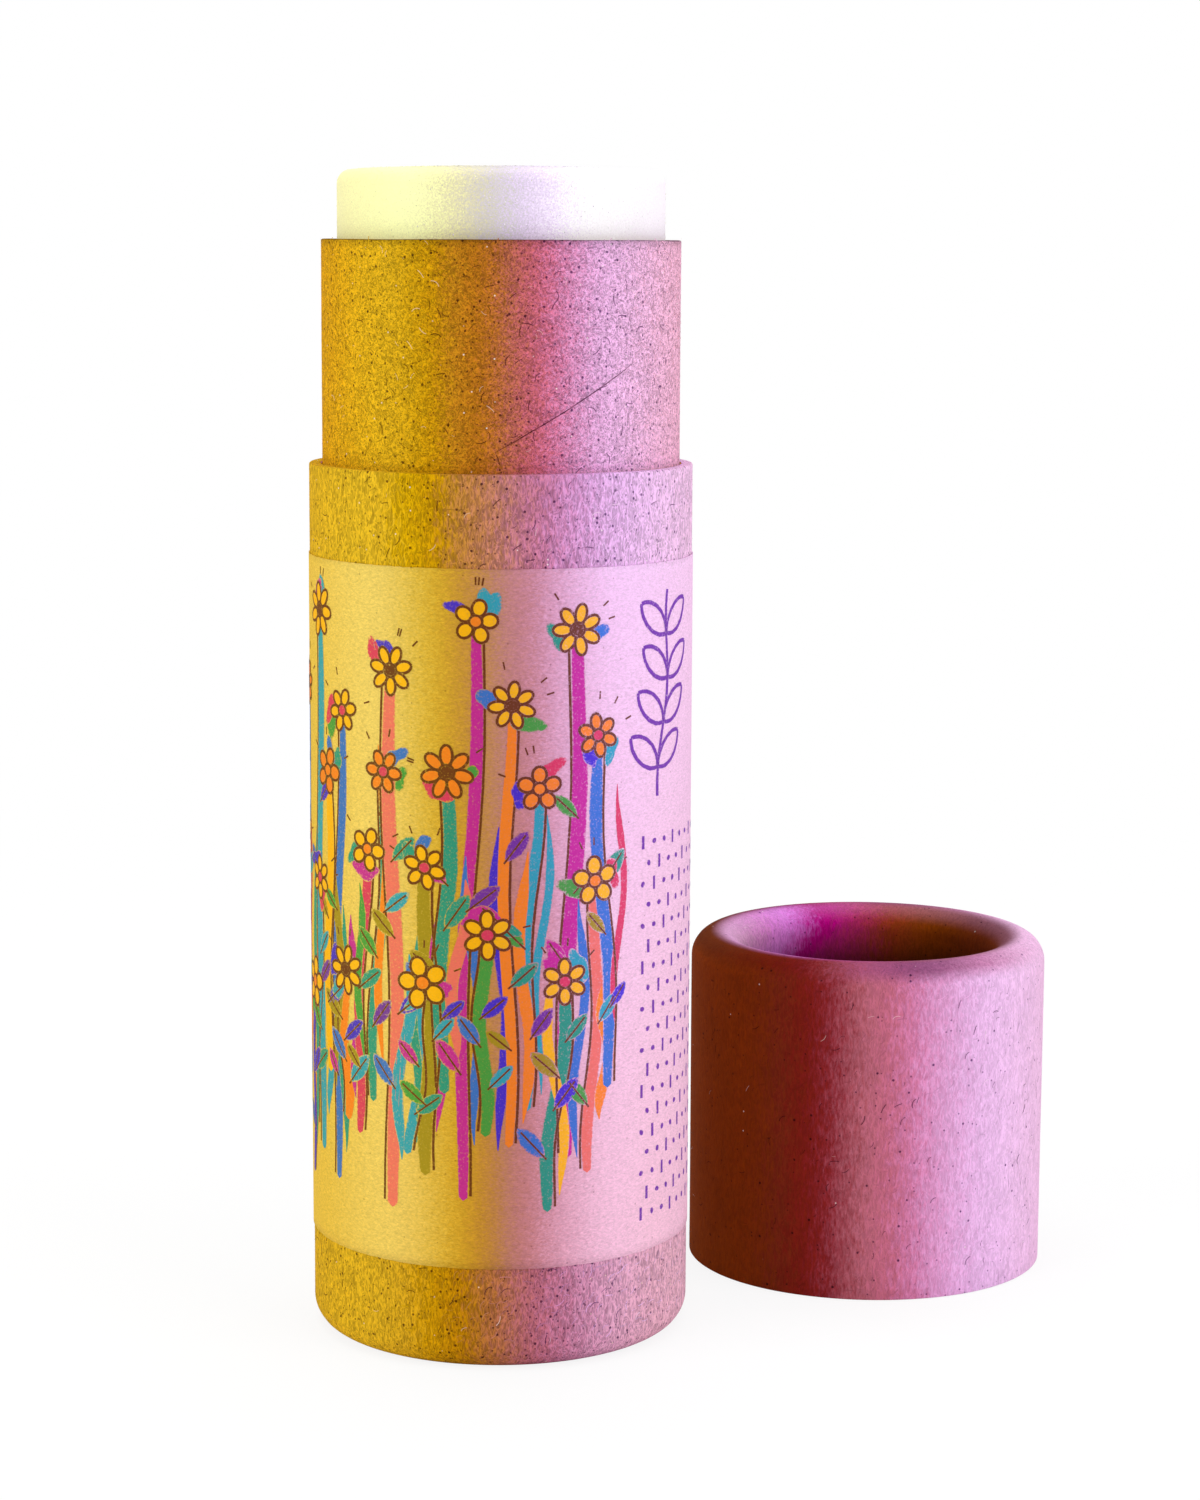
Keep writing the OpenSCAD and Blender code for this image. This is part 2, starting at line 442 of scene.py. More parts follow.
def label_paper(make):
    """Label paper's colour, in painted light with painted shade at the foot, and its height: smoother, with
    fine fibres that run round the tube.
    """
    side = leaning(make, wrapped(make))
    base = painted_light_tone(make, LABEL_TONES, side, 0.14, 4200, (0.7, 0.7, 1.3))
    base = painted_foot_shade(make, base, side, LABEL_FOOT_SHADE)
    fibres = grain(make, 4400, stretch=(0.65, 0.65, 1.4), detail=4.0, roughness=0.75, distortion=0.6)
    dark = make.math("MULTIPLY", spots(make, 1300, 0.14, 0.2), 0.45)
    return make.filtered(dark, times(make, base, make.swing(fibres, 1.1)), (0.3, 0.2, 0.2, 1)), fibres


def label_material():
    material, make = new_material("label_stock")
    colour, height = label_paper(make)
    finish_material(make, colour, 0.9, height, 0.03 * MM, 0.5, Specular_IOR_Level=0.08)
    return material


def crayon_material():
    """Crayon over the label's paper: the ink breaks up on the grain and thins out at a stroke's rim."""
    material, make = new_material("crayon_print")
    paper, height = label_paper(make)
    ink = make.add("ShaderNodeAttribute", {"attribute_name": "ink"}).outputs["Color"]
    wax = grain(make, 5200, detail=2.0, roughness=0.6)
    edge = make.math("MULTIPLY", make.math("POWER", make.value("rim"), 9.0), 0.6)
    cover = make.math("SUBTRACT", make.math("ADD", make.math("MULTIPLY", wax, 1.6), 0.1), edge)
    cover = make.between(cover, 0.2, 0.85, 0.1, 0.95)
    wash = make.mix(0.55, make.mix(1.0, paper, ink, "MULTIPLY"), ink)
    colour = make.mix(cover, paper, wash)
    finish_material(make, colour, 0.8, height, 0.03 * MM, 0.5, Specular_IOR_Level=0.1)
    return material


def balm_material():
    """Waxy pearl: pale, softly mottled, with a grain of fine mica. Its gold and pink tones by facing are
    painted light.
    """
    material, make = new_material("balm_wax")
    base = painted_light_tone(make, BALM_TONES, facing(make), 0.45, 6500)
    mica = grain(make, 6500, detail=2.0, roughness=0.8)
    cloud = grain(make, 300, detail=2.0)
    level = make.swing(cloud, 0.06, make.swing(mica, 0.45))
    finish_material(make, times(make, base, level), 0.5, mica, 0.03 * MM, 0.35, Specular_IOR_Level=0.25)
    return material


def flake_material():
    """Mica flakes in the balm's painted light, each a little lighter or darker than the balm under it."""
    material, make = new_material("mica_flakes")
    base = painted_light_tone(make, BALM_TONES, facing(make))
    level = make.between(make.value("shade"), 0.0, 1.0, 0.72, 1.2)
    finish_material(make, times(make, base, level), 0.35, Metallic=0.2)
    return material


def board_material(name, light, dark):
    """Pressed grey-brown board with coarse flecks."""
    material, make = new_material(name)
    fleck = grain(make, 1500, detail=5.0, roughness=0.75, distortion=1.2)
    colour = make.mix(make.between(fleck, 0.3, 0.7), (*tone(*dark), 1), (*tone(*light), 1))
    spot = make.math("MULTIPLY", spots(make, 900, 0.16, 0.25), 0.6)
    colour = make.mix(spot, colour, (*tone(70, 46, 30), 1))
    finish_material(make, colour, 0.92, fleck, 0.05 * MM, 0.6, Specular_IOR_Level=0.2)
    return material


def fibre_material(name, tones, axis_x):
    """Loose fibres: the paper's colour with its painted light, darkened or lightened fibre by fibre."""
    material, make = new_material(name)
    base = painted_light_tone(make, tones, facing(make, axis_x))
    shade = make.value("shade")
    darkest = make.mix(1.0, base, DARK_FIBRE, "MULTIPLY")
    colour = times(make, base, make.between(shade, 0.0, 1.0, 0.75, 1.25))
    colour = make.mix(make.math("LESS_THAN", shade, 0.1), colour, darkest)
    pale = make.math("MULTIPLY", make.math("GREATER_THAN", shade, 0.975), 0.28)
    finish_material(make, make.mix(pale, colour, PALE_FIBRE), 0.95, Specular_IOR_Level=0.06)
    return material


def seam_material():
    material, make = new_material("seam_shadow")
    base = painted_light_tone(make, NECK_TONES, facing(make))
    broken = grain(make, 1600, detail=2.0)
    deep = make.mix(make.between(broken, 0.35, 0.65), (0.12, 0.06, 0.10, 1), (0.45, 0.35, 0.4, 1))
    finish_material(make, make.mix(1.0, base, deep, "MULTIPLY"), 0.95, Specular_IOR_Level=0.1)
    return material


def seen_directly(make):
    """1 for what the camera sees itself, in a reflection or through a clear piece, else 0."""
    path = make.add("ShaderNodeLightPath")
    seen = make.math("MAXIMUM", path.outputs["Is Camera Ray"], path.outputs["Is Glossy Ray"])
    return make.math("MAXIMUM", seen, path.outputs["Is Transmission Ray"])


def stage_material():
    """White paper sweep: pure white to the camera and in reflections, with a faint shadow kept."""
    material, make = new_material("white_sweep")
    matt = make.add("ShaderNodeBsdfDiffuse", Color=(0.9, 0.9, 0.9, 1))
    glow = make.add("ShaderNodeEmission", Color=(1, 1, 1, 1), Strength=1.0)
    near = make.between(make.vector("LENGTH", make.place()), 0.30, 0.10, 0.0, 0.14)
    share = make.math("MULTIPLY", seen_directly(make), make.math("SUBTRACT", 1.0, near))
    mixed = make.add("ShaderNodeMixShader", _0=share, _1=matt.outputs[0], _2=glow.outputs[0])
    make.add("ShaderNodeOutputMaterial", Surface=mixed.outputs[0])
    return material


def arc(centre_r, centre_z, radius, start, end, steps):
    """Points (r, z) of an arc, its ends included. Angles in degrees."""
    turns = [math.radians(start + (end - start) * step / steps) for step in range(steps + 1)]
    return [(centre_r + radius * math.cos(turn), centre_z + radius * math.sin(turn)) for turn in turns]


def line(start, end, step=RING_STEP):
    """Points from start to end, both left out, about one step apart."""
    length = math.dist(start, end)
    count = max(1, round(length / step))
    return [
        (start[0] + (end[0] - start[0]) * i / count, start[1] + (end[1] - start[1]) * i / count)
        for i in range(1, count)
    ]


def strip_top(inner, outer, top, ease):
    """The rounded cut edge of a paper wall, from its outer face to its inner face."""
    level = line((outer - ease, top), (inner + ease, top), 0.25 * MM)
    outer_edge = arc(outer - ease, top - ease, ease, 0, 90, 4)
    return outer_edge + level + arc(inner + ease, top - ease, ease, 90, 180, 4)


def rolled_section(height, flat, ease):
    """Closed section (r, z) of a tube whose end at height 0 is rolled in."""
    bend_z = ROLL_R - flat
    middle = TUBE_R - ROLL_R
    leg_in = TUBE_R - 2 * ROLL_R
    wall_top = strip_top(BORE_R, TUBE_R, height, ease)
    leg_top = strip_top(leg_in, leg_in + WALL, ROLL_DEPTH, ease)
    section = [(TUBE_R, bend_z)] + line((TUBE_R, bend_z), wall_top[0]) + wall_top
    section += line(wall_top[-1], (BORE_R, bend_z)) + arc(middle, bend_z, ROLL_R - WALL, 0, -180, 14)
    section += line((leg_in + WALL, bend_z), leg_top[0]) + leg_top
    section += line(leg_top[-1], (leg_in, bend_z)) + arc(middle, bend_z, ROLL_R, 180, 360, 28)[:-1]
    return [(r, max(z, 0.0)) for r, z in section]


def revolve(name, centre, section, segments, shape, closed=True):
    """Turns a section round an upright axis. shape(r, z, turn) gives each point's own radius and height."""
    rings = []
    vertices = []
    for r, z in section:
        if r < 1e-9:
            rings.append([len(vertices)] * segments)
            vertices.append((centre[0], centre[1], shape(r, z, 0.0)[1]))
            continue
        ring = []
        for i in range(segments):
            turn = 2 * math.pi * i / segments
            own_r, own_z = shape(r, z, turn)
            ring.append(len(vertices))
            vertices.append((centre[0] + own_r * math.cos(turn), centre[1] + own_r * math.sin(turn), own_z))
        rings.append(ring)
    pairs = list(zip(rings, rings[1:] + rings[:1])) if closed else list(zip(rings, rings[1:]))
    faces = []
    for low, high in pairs:
        for i in range(segments):
            j = (i + 1) % segments
            corners = [low[i], low[j], high[j], high[i]]
            faces.append(list(dict.fromkeys(corners)))
    return mesh_object(name, vertices, faces)


def mesh_object(name, vertices, faces, material=None):
    """A smooth mesh object whose faces point outwards."""
    mesh = bpy.data.meshes.new(name)
    mesh.from_pydata([tuple(v) for v in vertices], [], faces)
    built = bmesh.new()
    built.from_mesh(mesh)
    bmesh.ops.recalc_face_normals(built, faces=built.faces)
    built.to_mesh(mesh)
    built.free()
    mesh.polygons.foreach_set("use_smooth", [True] * len(mesh.polygons))
    made = bpy.data.objects.new(name, mesh)
    bpy.context.scene.collection.objects.link(made)
    if material:
        mesh.materials.append(material)
    return made


def settle(made, body, slot, *replaced):
    """Says which body a piece rides on and which solids it stands for. Its slot, the finish, is not used."""
    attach(made, body)
    if replaced:
        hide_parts(*replaced)


def uneven(z, turn, seed, size):
    """A slow, seeded ripple between -size and 0 over a tube's wall."""
    place = Vector((math.cos(turn) * 2.2 + seed, math.sin(turn) * 2.2, z * 60))
    return size * (0.5 * noise.noise(place) - 0.5)


def paper_shape(paper, outer, top, seed, ragged=1.0):
    """The unevenness of a wound wall: its outer face ripples and its cut edge is ragged."""
    def shape(r, z, turn):
        sink = uneven(z, turn, seed, paper.ripple) if r > outer - WALL / 2 else 0.0
        lift = uneven(z, turn, seed + 6, ragged * paper.ragged) if z > top - 2 * paper.edge_ease else 0.0
        return r + sink, z + lift
    return shape


# Trees of geometry nodes

def new_tree(name, inputs):
    """A modifier's tree with a geometry input and output and the named inputs."""
    tree = bpy.data.node_groups.new(name, "GeometryNodeTree")
    tree.interface.new_socket("Geometry", in_out="INPUT", socket_type="NodeSocketGeometry")
    for label, kind, value in inputs:
        socket = tree.interface.new_socket(label, in_out="INPUT", socket_type=f"NodeSocket{kind}")
        socket.default_value = value
    tree.interface.new_socket("Geometry", in_out="OUTPUT", socket_type="NodeSocketGeometry")
    return tree, NodeMaker(tree)


def close_tree(make, geometry, material):
    real = make.add("GeometryNodeRealizeInstances", _0=geometry).outputs[0]
    done = make.add("GeometryNodeSetMaterial", Geometry=real, Material=material).outputs[0]
    make.add("NodeGroupOutput", _0=done)


def run_tree(made, tree, values):
    """Puts the tree on an object with the given inputs and turns the result into a plain mesh."""
    modifier = made.modifiers.new(tree.name, "NODES")
    modifier.node_group = tree
    for item in tree.interface.items_tree:
        if item.in_out == "INPUT" and item.name in values:
            modifier[item.identifier] = values[item.name]
    graph = bpy.context.evaluated_depsgraph_get()
    graph.update()
    mesh = bpy.data.meshes.new_from_object(made.evaluated_get(graph))
    made.modifiers.remove(modifier)
    material = mesh.materials[-1]
    mesh.materials.clear()
    mesh.materials.append(material)
    old = made.data
    made.data = mesh
    mesh.name = made.name
    if old.users == 0:
        (bpy.data.meshes if isinstance(old, bpy.types.Mesh) else bpy.data.curves).remove(old)
    return made


def named_value(make, name):
    return make.add("GeometryNodeInputNamedAttribute", {"data_type": "FLOAT"}, Name=name).outputs[0]


def keep_value(make, geometry, name, value, domain="POINT"):
    settings = {"data_type": "FLOAT", "domain": domain}
    return make.add(
        "GeometryNodeStoreNamedAttribute", settings, Geometry=geometry, Name=name, Value=value).outputs[0]


def wrap_nodes(make, geometry, entry):
    """Bends flat art, x along the arc and y up, round the tube. z is its height off the paper."""
    place = make.add("ShaderNodeSeparateXYZ", Vector=make.add("GeometryNodeInputPosition").outputs[0])
    radius = make.math("ADD", entry.outputs["Radius"], place.outputs[2])
    turn = make.math("DIVIDE", place.outputs[0], entry.outputs["Radius"])
    x = make.math("ADD", make.math("MULTIPLY", radius, make.math("SINE", turn)), TUBE_X)
    y = make.math("SUBTRACT", TUBE_Y, make.math("MULTIPLY", radius, make.math("COSINE", turn)))
    bent = make.add("ShaderNodeCombineXYZ", X=x, Y=y, Z=place.outputs[1]).outputs[0]
    return make.add("GeometryNodeSetPosition", Geometry=geometry, Position=bent).outputs[0]


def ribbon_tree(material):
    """Strokes drawn as edges become flat ribbons of their own width, bent round the tube."""
    tree, make = new_tree("crayon_ribbons", [("Radius", "Float", TUBE_R), ("Step", "Float", PRINT_STEP)])
    entry = make.add("NodeGroupInput")
    step = entry.outputs["Step"]
    curve = make.add("GeometryNodeMeshToCurve", Mesh=entry.outputs["Geometry"]).outputs[0]
    curve = make.add("GeometryNodeResampleCurve", {"mode": "LENGTH"}, Curve=curve, Length=step).outputs[0]
    curve = make.add("GeometryNodeSetCurveNormal", {"mode": "Z_UP"}, Curve=curve).outputs[0]
    profile = make.add("GeometryNodeCurvePrimitiveLine", Start=(-1, 0, 0), End=(1, 0, 0)).outputs[0]
    profile = make.add("GeometryNodeResampleCurve", {"mode": "COUNT"}, Curve=profile, Count=5).outputs[0]
    side = make.axis(make.add("GeometryNodeInputPosition").outputs[0], 0)
    profile = keep_value(make, profile, "rim", make.math("ABSOLUTE", side))
    ribbon = make.add(
        "GeometryNodeCurveToMesh", Curve=curve, Profile_Curve=profile, Scale=named_value(make, "half_width"),
    ).outputs[0]
    lift = make.add("ShaderNodeCombineXYZ", Z=named_value(make, "lift")).outputs[0]
    ribbon = make.add("GeometryNodeSetPosition", Geometry=ribbon, Offset=lift).outputs[0]
    close_tree(make, wrap_nodes(make, ribbon, entry), material)
    return tree


def patch_tree(material):
    """Flat filled shapes bent round the tube."""
    tree, make = new_tree("crayon_patches", [("Radius", "Float", TUBE_R)])
    entry = make.add("NodeGroupInput")
    close_tree(make, wrap_nodes(make, entry.outputs["Geometry"], entry), material)
    return tree


def thrown_points(make, entry):
    return make.add(
        "GeometryNodeDistributePointsOnFaces", Mesh=entry.outputs["Geometry"],
        Density=entry.outputs["Density"], Seed=entry.outputs["Seed"],
    )


def bent_ribbon(make, bend, width):
    """One flat fibre of length 1, bent sideways by the given share."""
    curve = make.add(
        "GeometryNodeCurveQuadraticBezier", Resolution=4, Start=(-0.5, 0, 0), Middle=(0, bend, 0),
        End=(0.5, 0, 0),
    ).outputs[0]
    curve = make.add("GeometryNodeSetCurveNormal", {"mode": "Z_UP"}, Curve=curve).outputs[0]
    ends = []
    for side in (-0.5, 0.5):
        ends.append(make.add("ShaderNodeCombineXYZ", X=make.math("MULTIPLY", width, side)).outputs[0])
    profile = make.add("GeometryNodeCurvePrimitiveLine", Start=ends[0], End=ends[1]).outputs[0]
    ribbon = make.add("GeometryNodeCurveToMesh", Curve=curve, Profile_Curve=profile).outputs[0]
    return make.add("GeometryNodeGeometryToInstance", _0=ribbon).outputs[0]


def fibre_tree(material):
    """Short curved fibres, thrown over a surface and lying flat on it."""
    tree, make = new_tree("loose_fibres", [
        ("Density", "Float", 1.0), ("Length", "Float", 1.0 * MM), ("Width", "Float", 0.05 * MM),
        ("Upright", "Float", 0.0), ("Seed", "Int", 1), ("Shade Seed", "Int", 7),
    ])
    entry = make.add("NodeGroupInput")
    points = thrown_points(make, entry)
    width = make.math("DIVIDE", entry.outputs["Width"], entry.outputs["Length"])
    kinds = make.add("GeometryNodeJoinGeometry")
    for bend in (0.10, -0.24, 0.38):
        make.feed(kinds, "_0", bent_ribbon(make, bend, width))
    size = make.math("MULTIPLY", make.random_value("FLOAT", 0.35, 1.3, 3), entry.outputs["Length"])
    placed = make.add(
        "GeometryNodeInstanceOnPoints", Points=points.outputs["Points"], Instance=kinds.outputs[0],
        Pick_Instance=True, Instance_Index=make.random_value("INT", 0, 2, 5),
        Rotation=points.outputs["Rotation"], Scale=size,
    ).outputs[0]
    spin = make.random_value("FLOAT", -math.pi / 2, math.pi / 2, 11)
    calmer = make.math("MULTIPLY", spin, make.math("SUBTRACT", 1.0, entry.outputs["Upright"]))
    quarter = make.math("MULTIPLY", entry.outputs["Upright"], math.pi / 2)
    turn = make.add("ShaderNodeCombineXYZ", Z=make.math("ADD", calmer, quarter)).outputs[0]
    placed = make.add("GeometryNodeRotateInstances", Instances=placed, Rotation=turn).outputs[0]
    lift = (0, 0, 0.012 * MM)
    placed = make.add("GeometryNodeTranslateInstances", Instances=placed, Translation=lift).outputs[0]
    shade = make.random_value("FLOAT", 0.0, 1.0, entry.outputs["Shade Seed"])
    close_tree(make, keep_value(make, placed, "shade", shade, domain="INSTANCE"), material)
    return tree


def flake_tree(material):
    """Small five-sided flakes, thrown over a surface and tilted a little."""
    tree, make = new_tree("mica_flakes", [
        ("Density", "Float", 1.0), ("Size", "Float", 0.1 * MM), ("Tilt", "Float", 0.5), ("Seed", "Int", 1),
    ])
    entry = make.add("NodeGroupInput")
    points = thrown_points(make, entry)
    flake = make.add("GeometryNodeMeshCircle", {"fill_type": "NGON"}, Vertices=5, Radius=0.5).outputs[0]
    size = make.math("MULTIPLY", make.random_value("FLOAT", 0.4, 1.2, 3), entry.outputs["Size"])
    placed = make.add(
        "GeometryNodeInstanceOnPoints", Points=points.outputs["Points"], Instance=flake,
        Rotation=points.outputs["Rotation"], Scale=size,
    ).outputs[0]
    tilt = make.random_value("FLOAT_VECTOR", (-1, -1, -3), (1, 1, 3), 9)
    settings = {"operation": "SCALE"}
    tilt = make.add("ShaderNodeVectorMath", settings, _0=tilt, Scale=entry.outputs["Tilt"]).outputs[0]
    placed = make.add("GeometryNodeRotateInstances", Instances=placed, Rotation=tilt).outputs[0]
    shade = make.random_value("FLOAT", 0.0, 1.0, 21)
    close_tree(make, keep_value(make, placed, "shade", shade, domain="INSTANCE"), material)
    return tree


# The print: flat art in metres, x along the arc from the label's front, y the height

class Art:
    """Collects strokes and filled shapes, each with its ink and its layer."""

    LAYER = 0.009 * MM
    RINGS = (0.34, 0.67, 1.0)

    def __init__(self, seed):
        self.random = random.Random(seed)
        self.strokes = []
        self.patches = []

    def stroke(self, points, half_width, ink, layer=1, taper=0.0, round_foot=False):
        """A stroke through points, thinner at both ends by the taper."""
        count = len(points)
        widths = []
        for i in range(count):
            end = min(i, count - 1 - i) / max(1, (count - 1) / 2)
            shake = 1 + 0.16 * (self.random.random() - 0.5)
            widths.append(half_width * shake * (1 - taper * (1 - min(1.0, end * 3))))
        if round_foot:
            foot, size = Vector(points[0]), widths[0]
            away = (foot - Vector(points[1])).normalized()
            for reach in (0.4, 0.7, 0.9, 1.0):
                points = [tuple(foot + away * size * reach), *points]
                widths = [size * math.sqrt(1.01 - reach * reach), *widths]
        self.strokes.append((points, widths, ink, layer))

    def patch(self, centre, outline, ink, layer):
        """A filled shape: its outline is a list of (x, y) from the centre."""
        self.patches.append((centre, outline, ink, layer))

    def bake(self):
        """The strokes as a mesh of edges and the patches as a mesh of faces, in the flat."""
        vertices, edges, widths, inks, lifts = [], [], [], [], []
        for points, own_widths, ink, layer in self.strokes:
            start = len(vertices)
            vertices += [(x, y, 0.0) for x, y in points]
            edges += [(start + i, start + i + 1) for i in range(len(points) - 1)]
            widths += own_widths
            inks += [(*tone(*INKS[ink]), 1)] * len(points)
            lifts += [layer * self.LAYER] * len(points)
        lines = flat_object("print_strokes", vertices, edges, [], {"half_width": widths, "lift": lifts}, inks)
        vertices, faces, rims, inks = [], [], [], []
        for (x, y), outline, ink, layer in self.patches:
            start = len(vertices)
            count = len(outline)
            height = layer * self.LAYER
            vertices.append((x, y, height))
            rims.append(0.0)
            for share in self.RINGS:
                vertices += [(x + dx * share, y + dy * share, height) for dx, dy in outline]
                rims += [share] * count
            for i in range(count):
                j = (i + 1) % count
                faces.append((start, start + 1 + i, start + 1 + j))
                for ring in range(len(self.RINGS) - 1):
                    low, high = start + 1 + ring * count, start + 1 + (ring + 1) * count
                    faces.append((low + i, high + i, high + j, low + j))
            inks += [(*tone(*INKS[ink]), 1)] * (1 + len(self.RINGS) * count)
        fills = flat_object("print_fills", vertices, [], faces, {"rim": rims}, inks)
        return lines, fills


def flat_object(name, vertices, edges, faces, values, inks):
    mesh = bpy.data.meshes.new(name)
    mesh.from_pydata(vertices, edges, faces)
    for key, numbers in values.items():
        mesh.attributes.new(key, "FLOAT", "POINT").data.foreach_set("value", numbers)
    flat = [part for ink in inks for part in ink]
    mesh.attributes.new("ink", "FLOAT_COLOR", "POINT").data.foreach_set("color", flat)
    made = bpy.data.objects.new(name, mesh)
    bpy.context.scene.collection.objects.link(made)
    return made


def turned(along, side, turn):
    return along * math.cos(turn) - side * math.sin(turn), along * math.sin(turn) + side * math.cos(turn)


def oval(length, width, turn, point=0.0, count=14):
    """Outline of an oval round (0, 0), long along its turn. point sharpens its two ends."""
    outline = []
    for i in range(count):
        angle = 2 * math.pi * i / count
        slim = 1 - point * abs(math.cos(angle)) ** 3
        outline.append(turned(0.5 * length * math.cos(angle), 0.5 * width * math.sin(angle) * slim, turn))
    return outline


def ring_points(centre, outline):
    closed = outline + outline[:1]
    return [(centre[0] + dx, centre[1] + dy) for dx, dy in closed]


def polar(centre, distance, turn):
    return centre[0] + distance * math.cos(turn), centre[1] + distance * math.sin(turn)


def smudge(art, centre, size, ink, layer):
    """A soft scribbled spot behind a flower: an oval with a few slow bulges."""
    bulges = []
    for waves, share in ((2, 0.2), (3, 0.14), (5, 0.07)):
        bulges.append((waves, share, art.random.uniform(0, 2 * math.pi)))
    turn = art.random.uniform(0, math.pi)
    outline = []
    for i in range(28):
        angle = 2 * math.pi * i / 28
        reach = size * (1 + sum(share * math.sin(waves * angle + start) for waves, share, start in bulges))
        outline.append(turned(reach * math.cos(angle), 0.62 * reach * math.sin(angle), turn))
    art.patch(centre, outline, ink, layer)


def flower(art, centre, size, petals, fill, heart):
    """A round flower: filled petals with a dark outline, and a heart."""
    start = art.random.uniform(0, 2 * math.pi)
    width = 3.6 * size / petals
    for i in range(petals):
        turn = start + 2 * math.pi * i / petals
        middle = polar(centre, size * 0.68, turn)
        outline = oval(size * 0.84, width, turn)
        art.patch(middle, outline, fill, layer=2.5)
        art.stroke(ring_points(middle, outline), 0.13 * MM, "brown", layer=3.2)
    disc = oval(size * 0.66, size * 0.62, 0.0, count=12)
    art.patch(centre, disc, heart, layer=4)
    art.stroke(ring_points(centre, disc), 0.12 * MM, "brown", layer=4.6)


def leaf(art, root, length, turn, ink, layer):
    middle = polar(root, length * 0.58, turn)
    outline = oval(length, length * 0.45, turn, point=0.45)
    art.patch(middle, outline, ink, layer)
    art.stroke([root, polar(root, length * 0.95, turn)], 0.09 * MM, "brown", 2.1)


def stem_points(art, foot, head, sway):
    """A stem that sways a little between its foot and its flower."""
    count = 14
    phase = art.random.uniform(0, 2 * math.pi)
    points = []
    for i in range(count + 1):
        share = i / count
        drift = sway * math.sin(phase + share * math.pi * 1.6) * math.sin(share * math.pi)
        points.append((
            foot[0] + (head[0] - foot[0]) * share + drift, foot[1] + (head[1] - foot[1]) * share,
        ))
    return points


def roomiest(taken, offers):
    """The offer that lies farthest from the places already taken."""
    return max(offers, key=lambda offer: min((math.dist(offer, place) for place in taken), default=1.0))


def meadow(settings):
    """Flowers on tall coloured stems, all round the label's left half, at mixed heights."""
    art = Art(settings.print_seed)
    low, high = LABEL_LOW.z + 4 * MM, LABEL_HIGH.z - 4.5 * MM
    heads = []
    x, i = settings.print_start, 0
    while x < settings.print_end:
        foot = (x, low + (high - low) * FOOT_SHARES[(i * 3) % 8])
        head = roomiest(heads, [
            (x + art.random.uniform(-1.6, 1.6) * MM, low + (high - low) * art.random.uniform(0.34, 1.0))
            for _ in range(9)
        ])
        heads.append(head)
        # Each stem has its own height off the paper, so that crossing strokes don't share one
        own = 0.1 * (i * 3 % 8)
        stem = draw_stem(art, foot, head, i, own)
        draw_leaves(art, stem, i, own)
        draw_head(art, head, i, own)
        x += art.random.uniform(1.5, 2.2) * MM
        i += 1
    side_panel(art, settings)
    return art


def draw_stem(art, foot, head, number, own):
    """A thick stem with a thin line along one side, and a blade of grass beside it."""
    points = stem_points(art, foot, head, 0.7 * MM)
    width = art.random.uniform(0.5, 0.8) * MM
    art.stroke(points, width, STEM_INKS[number % len(STEM_INKS)], own, taper=0.3, round_foot=True)
    side = art.random.choice((-1, 1))
    art.stroke([(x + side * width * 1.1, y) for x, y in points], 0.12 * MM, "brown", 0.9 + own / 2)
    root = (foot[0] + art.random.uniform(0.9, 1.3) * MM, foot[1] + art.random.uniform(-2, 5) * MM)
    tip = (root[0] + art.random.uniform(-1, 1) * MM, root[1] + art.random.uniform(12, 30) * MM)
    blade = stem_points(art, root, tip, 0.9 * MM)
    width = art.random.uniform(0.4, 0.65) * MM
    art.stroke(blade, width, STEM_INKS[(number + 7) % len(STEM_INKS)], own + 0.05, taper=0.92)
    return points


def draw_leaves(art, stem, number, own):
    """Two to four leaves, up the stem on both sides."""
    count = 2 + number % 3
    for i in range(count):
        lean = math.pi / 2 + (1 if (i + number) % 2 else -1) * art.random.uniform(0.6, 0.95)
        length = art.random.uniform(2.6, 3.8) * MM
        ink = LEAF_INKS[(number + i * 3) % 8]
        leaf(art, stem[3 + round(i * 8 / count)], length, lean, ink, 1.4 + own / 2 + 0.03 * i)


def draw_head(art, head, number, own):
    """The flower over its two smudges, with three short ticks above it."""
    for i in range(2):
        spot = polar(head, 1.9 * MM, art.random.uniform(0, 2 * math.pi))
        size = art.random.uniform(1.0, 1.6) * MM
        smudge(art, spot, size, SMUDGE_INKS[(number * 2 + i) % 7], 1.85 + 0.02 * i + own / 8)
    size = art.random.uniform(1.75, 2.3) * MM
    petal_ink = "orange" if number % 4 == 2 else "yellow"
    flower(art, head, size, 5 + number % 3, petal_ink, ("orange", "crimson", "brown")[number % 3])
    for i in range(3):
        turn = art.random.uniform(0.2, math.pi - 0.2)
        start = polar(head, 3.2 * MM, turn)
        art.stroke([start, polar(start, 0.7 * MM, turn)], 0.08 * MM, "brown")


